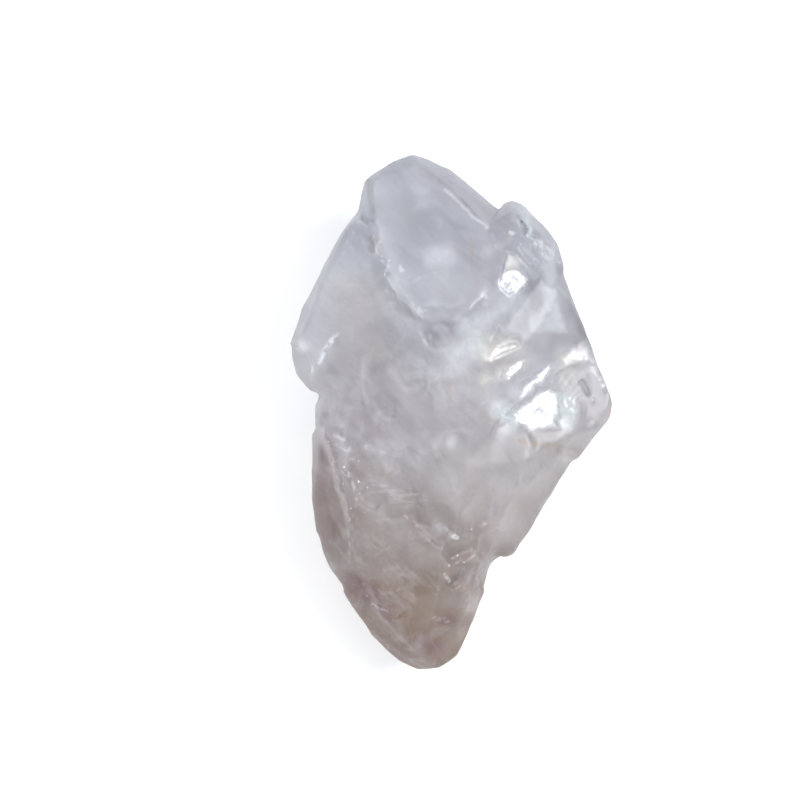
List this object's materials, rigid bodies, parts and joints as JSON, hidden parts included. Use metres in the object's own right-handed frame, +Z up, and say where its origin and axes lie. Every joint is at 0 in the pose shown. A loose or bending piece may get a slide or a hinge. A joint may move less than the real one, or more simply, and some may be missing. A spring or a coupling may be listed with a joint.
{
  "type": "rough quartz piece",
  "caption": "Hand-size rough quartz: a tilted crystal plate over a left shoulder, a stepped glassy fracture on the right and a flaked body that narrows to a blunt tip.",
  "frame": {"origin": "under the middle of the stone, on the surface that it lies on", "axes": "+X across the stone, +Y along it from the blunt tip to the crown, +Z up, out of its front face"},
  "size_m": [0.03, 0.048, 0.0206],
  "materials": {
    "quartz": "clear to cloudy pale lavender-grey quartz, glassy on its faces and fractures, with white veils inside and thin orange iron stains in its cracks"
  },
  "bodies": {
    "root": {"quartz_stone": "quartz"}
  },
  "joints": []
}
